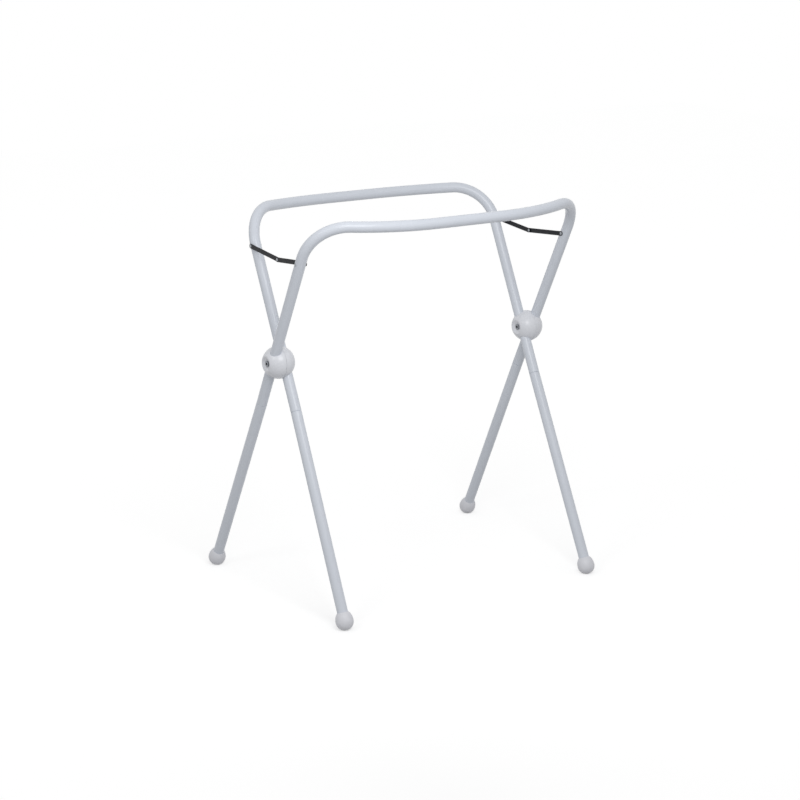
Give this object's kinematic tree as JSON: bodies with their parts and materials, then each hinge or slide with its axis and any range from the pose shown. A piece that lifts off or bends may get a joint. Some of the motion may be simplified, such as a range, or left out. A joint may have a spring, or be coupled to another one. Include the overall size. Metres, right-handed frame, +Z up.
{
  "type": "folding baby bath stand",
  "caption": "Folding X-frame stand of bent tube with ball hubs, jointed stays and ball feet; two bowed rails carry a baby bath.",
  "frame": {"origin": "on the floor, at the centre of the stand's outline when it is open", "axes": "+X along the two rails, +Y from the front rail to the back rail, +Z up; the folding axis runs along X through both hubs"},
  "size_m": [0.7882, 0.576, 0.9062],
  "materials": {
    "frame_paint": "smooth white powder coat on steel tube",
    "hub_plastic": "moulded white plastic, satin gloss",
    "foot_plastic": "moulded white plastic, satin gloss",
    "washer_plastic": "plain",
    "stay_steel": "black coated flat steel bar",
    "rivet_zinc": "zinc plated",
    "pivot_steel": "dark passivated steel"
  },
  "bodies": {
    "inner_frame": {"inner_frame_tube": "frame_paint", "inner_leg_left": "frame_paint", "inner_leg_right": "frame_paint", "inner_foot_left": "foot_plastic", "inner_foot_right": "foot_plastic", "inner_half_ball_left": "hub_plastic", "inner_half_ball_right": "hub_plastic", "pivot_sleeve_nut_left": "pivot_steel", "pivot_sleeve_nut_right": "pivot_steel", "pivot_bolt_left": "pivot_steel", "pivot_bolt_right": "pivot_steel", "hub_washer_left": "washer_plastic", "hub_washer_right": "washer_plastic", "inner_stay_rivet_left": "rivet_zinc", "inner_stay_rivet_right": "rivet_zinc"},
    "outer_frame": {"outer_frame_tube": "frame_paint", "outer_leg_left": "frame_paint", "outer_leg_right": "frame_paint", "outer_foot_left": "foot_plastic", "outer_foot_right": "foot_plastic", "outer_half_ball_left": "hub_plastic", "outer_half_ball_right": "hub_plastic", "outer_stay_rivet_left": "rivet_zinc", "outer_stay_rivet_right": "rivet_zinc"},
    "inner_stay_left": {"inner_stay_link_left": "stay_steel", "knee_rivet_left": "rivet_zinc"},
    "inner_stay_right": {"inner_stay_link_right": "stay_steel", "knee_rivet_right": "rivet_zinc"},
    "outer_stay_left": {"outer_stay_link_left": "stay_steel", "knee_burr_left": "rivet_zinc"},
    "outer_stay_right": {"outer_stay_link_right": "stay_steel", "knee_burr_right": "rivet_zinc"}
  },
  "joints": [
    {"name": "fold", "type": "hinge", "parent": "inner_frame", "child": "outer_frame", "pos_m": [0, 0, 0.559], "axis": [-1, 0, 0], "range_deg": [0, 45]},
    {"name": "inner_stay_left_pivot", "type": "hinge", "parent": "inner_frame", "child": "inner_stay_left", "pos_m": [-0.352, 0.1225, 0.80632], "axis": [1, 0, 0], "range_deg": [0, 54]},
    {"name": "inner_stay_right_pivot", "type": "hinge", "parent": "inner_frame", "child": "inner_stay_right", "pos_m": [0.352, 0.1225, 0.80632], "axis": [1, 0, 0], "range_deg": [0, 54]},
    {"name": "outer_stay_left_pivot", "type": "hinge", "parent": "outer_frame", "child": "outer_stay_left", "pos_m": [-0.352, -0.1225, 0.80632], "axis": [-1, 0, 0], "range_deg": [0, 54]},
    {"name": "outer_stay_right_pivot", "type": "hinge", "parent": "outer_frame", "child": "outer_stay_right", "pos_m": [0.352, -0.1225, 0.80632], "axis": [-1, 0, 0], "range_deg": [0, 54]}
  ],
  "couplings": [
    {"joint": "inner_stay_left_pivot", "follows": "fold", "ratio": 1.1934},
    {"joint": "inner_stay_right_pivot", "follows": "fold", "ratio": 1.1934},
    {"joint": "outer_stay_left_pivot", "follows": "fold", "ratio": 1.1934},
    {"joint": "outer_stay_right_pivot", "follows": "fold", "ratio": 1.1934}
  ]
}
